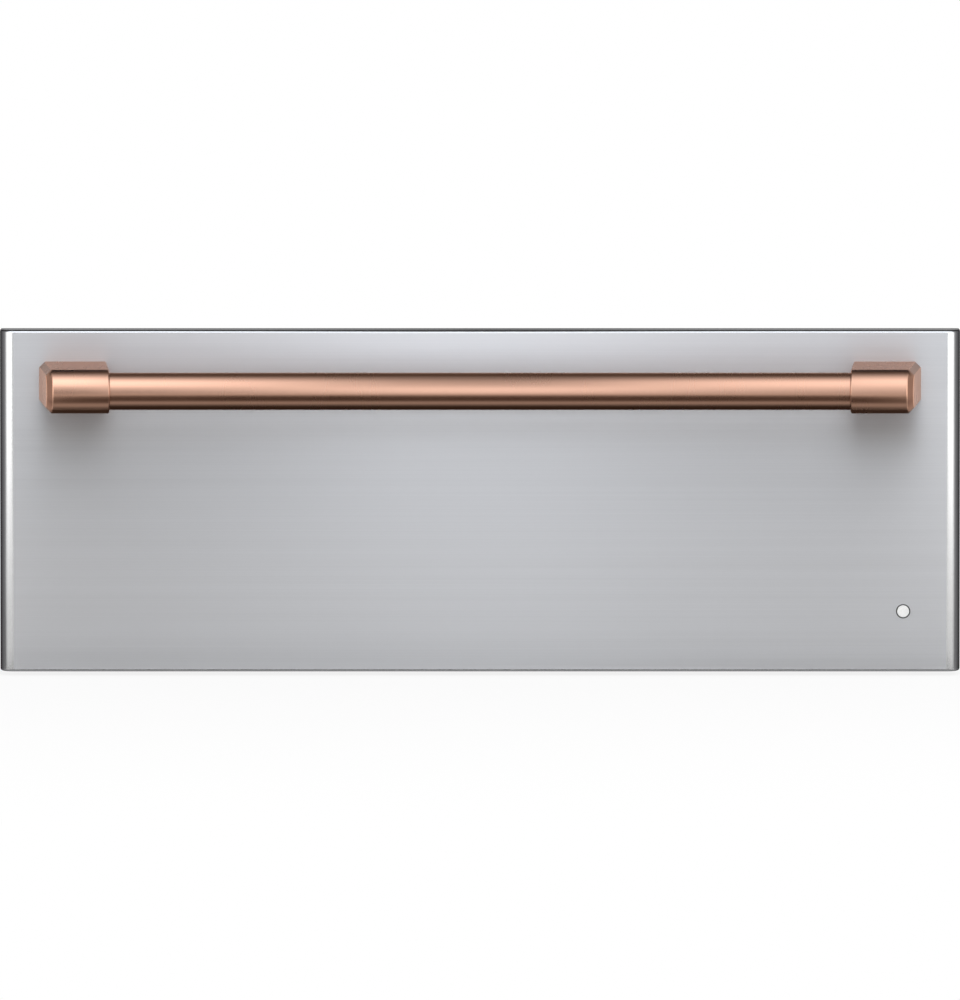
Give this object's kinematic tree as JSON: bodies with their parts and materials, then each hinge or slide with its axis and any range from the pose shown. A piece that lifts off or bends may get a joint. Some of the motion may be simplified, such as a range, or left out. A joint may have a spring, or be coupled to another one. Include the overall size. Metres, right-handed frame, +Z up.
{
  "type": "warming drawer",
  "caption": "Built-in warming drawer: brushed steel front with a copper-coloured bar handle, sliding drawer with a lift-out pan and rack, and a heated, insulated cabinet.",
  "frame": {"origin": "on the floor of the cut-out, under the middle of the whole appliance", "axes": "+X to the right of someone facing the drawer, -Y the way the drawer opens, +Z up"},
  "size_m": [0.7556, 0.6998, 0.273],
  "materials": {
    "front_steel": "horizontally brushed stainless",
    "copper": "brushed, copper-coloured coating",
    "lens_white": "translucent white",
    "galvanised": "zinc-coated sheet",
    "enamel": "grey enamel",
    "frame_black": "satin black powder coat",
    "pan_steel": "drawn stainless, satin",
    "inner_steel": "satin stainless sheet",
    "wire_chrome": "bright plated wire",
    "rail_zinc": "bright zinc plated",
    "cage_steel": "pressed strip and polished balls",
    "screw_zinc": "zinc plated",
    "element_sheath": "heat-darkened steel sheath",
    "seal_rubber": "silicone seal",
    "wool": "mineral wool",
    "console_plastic": "fine-grained black",
    "knob_plastic": "satin black",
    "switch_plastic": "moulded phenolic",
    "gland_plastic": "black nylon",
    "lever_plastic": "blue nylon",
    "lamp_plastic": "clear-white lamp holder"
  },
  "bodies": {
    "cabinet": {"base_pan": "galvanised", "base_runners": "galvanised", "casing_side_left": "galvanised", "casing_side_right": "galvanised", "casing_top": "galvanised", "casing_rear": "galvanised", "body_screws": "screw_zinc", "liner_floor": "enamel", "liner_side_left": "enamel", "liner_side_right": "enamel", "liner_top": "enamel", "liner_rear": "enamel", "insulation_blankets": "wool", "frame_top_rail": "frame_black", "frame_bottom_rail": "frame_black", "frame_stile_left": "frame_black", "frame_stile_right": "frame_black", "cabinet_rail_left": "rail_zinc", "cabinet_rail_right": "rail_zinc", "rail_standoffs": "galvanised", "rail_screws": "screw_zinc", "heating_element": "element_sheath", "element_clips": "rail_zinc", "heat_shield": "inner_steel", "temperature_sensor": "wire_chrome", "limit_thermostat": "switch_plastic", "wiring_box": "galvanised", "wiring_box_cover": "galvanised", "cord_gland": "gland_plastic", "control_console": "console_plastic", "heat_control_switch": "switch_plastic", "indicator_lamp": "lamp_plastic"},
    "drawer": {"front_panel": "front_steel", "front_inner_panel": "inner_steel", "front_insulation": "wool", "front_gasket": "seal_rubber", "handle_bar": "copper", "handle_end_left": "copper", "handle_end_right": "copper", "handle_screws": "screw_zinc", "indicator_lens": "lens_white", "drawer_side_left": "inner_steel", "drawer_side_right": "inner_steel", "drawer_rear": "inner_steel", "drawer_front_bar": "inner_steel", "serving_pan": "pan_steel", "wire_rack": "wire_chrome", "drawer_rail_left": "rail_zinc", "drawer_rail_right": "rail_zinc", "drawer_screws": "screw_zinc"},
    "control_knob": {"control_knob": "knob_plastic"},
    "vent_slide": {"vent_slide": "inner_steel"},
    "intermediate_rail_left": {"intermediate_rail_left": "rail_zinc"},
    "intermediate_rail_right": {"intermediate_rail_right": "rail_zinc"},
    "ball_cage_outer_left": {"ball_cage_outer_left": "cage_steel"},
    "ball_cage_outer_right": {"ball_cage_outer_right": "cage_steel"},
    "ball_cage_inner_left": {"ball_cage_inner_left": "cage_steel"},
    "ball_cage_inner_right": {"ball_cage_inner_right": "cage_steel"},
    "release_lever_left": {"release_lever_left": "lever_plastic"},
    "release_lever_right": {"release_lever_right": "lever_plastic"}
  },
  "joints": [
    {"name": "drawer_slide", "type": "slide", "parent": "cabinet", "child": "drawer", "axis": [0, -1, 0], "range_m": [0, 0.45]},
    {"name": "intermediate_rail_left_slide", "type": "slide", "parent": "cabinet", "child": "intermediate_rail_left", "axis": [0, -1, 0], "range_m": [0, 0.225]},
    {"name": "ball_cage_outer_left_slide", "type": "slide", "parent": "cabinet", "child": "ball_cage_outer_left", "axis": [0, -1, 0], "range_m": [0, 0.1125]},
    {"name": "ball_cage_inner_left_slide", "type": "slide", "parent": "cabinet", "child": "ball_cage_inner_left", "axis": [0, -1, 0], "range_m": [0, 0.3375]},
    {"name": "intermediate_rail_right_slide", "type": "slide", "parent": "cabinet", "child": "intermediate_rail_right", "axis": [0, -1, 0], "range_m": [0, 0.225]},
    {"name": "ball_cage_outer_right_slide", "type": "slide", "parent": "cabinet", "child": "ball_cage_outer_right", "axis": [0, -1, 0], "range_m": [0, 0.1125]},
    {"name": "ball_cage_inner_right_slide", "type": "slide", "parent": "cabinet", "child": "ball_cage_inner_right", "axis": [0, -1, 0], "range_m": [0, 0.3375]},
    {"name": "knob_turn", "type": "hinge", "parent": "cabinet", "child": "control_knob", "pos_m": [0.19, -0.2343, 0.195], "axis": [0, -1, 0], "range_deg": [-270, 0]},
    {"name": "vent_shift", "type": "slide", "parent": "cabinet", "child": "vent_slide", "axis": [1, 0, 0], "range_m": [0, 0.006]},
    {"name": "release_left", "type": "hinge", "parent": "drawer", "child": "release_lever_left", "pos_m": [-0.307, -0.0123, 0.105], "axis": [1, 0, 0], "range_deg": [-5, 0], "stiffness_Nm_per_rad": 0.08},
    {"name": "release_right", "type": "hinge", "parent": "drawer", "child": "release_lever_right", "pos_m": [0.307, -0.0123, 0.105], "axis": [1, 0, 0], "range_deg": [0, 5], "stiffness_Nm_per_rad": 0.08}
  ],
  "couplings": [
    {"joint": "intermediate_rail_left_slide", "follows": "drawer_slide", "ratio": 0.5},
    {"joint": "ball_cage_outer_left_slide", "follows": "drawer_slide", "ratio": 0.25},
    {"joint": "ball_cage_inner_left_slide", "follows": "drawer_slide", "ratio": 0.75},
    {"joint": "intermediate_rail_right_slide", "follows": "drawer_slide", "ratio": 0.5},
    {"joint": "ball_cage_outer_right_slide", "follows": "drawer_slide", "ratio": 0.25},
    {"joint": "ball_cage_inner_right_slide", "follows": "drawer_slide", "ratio": 0.75}
  ]
}
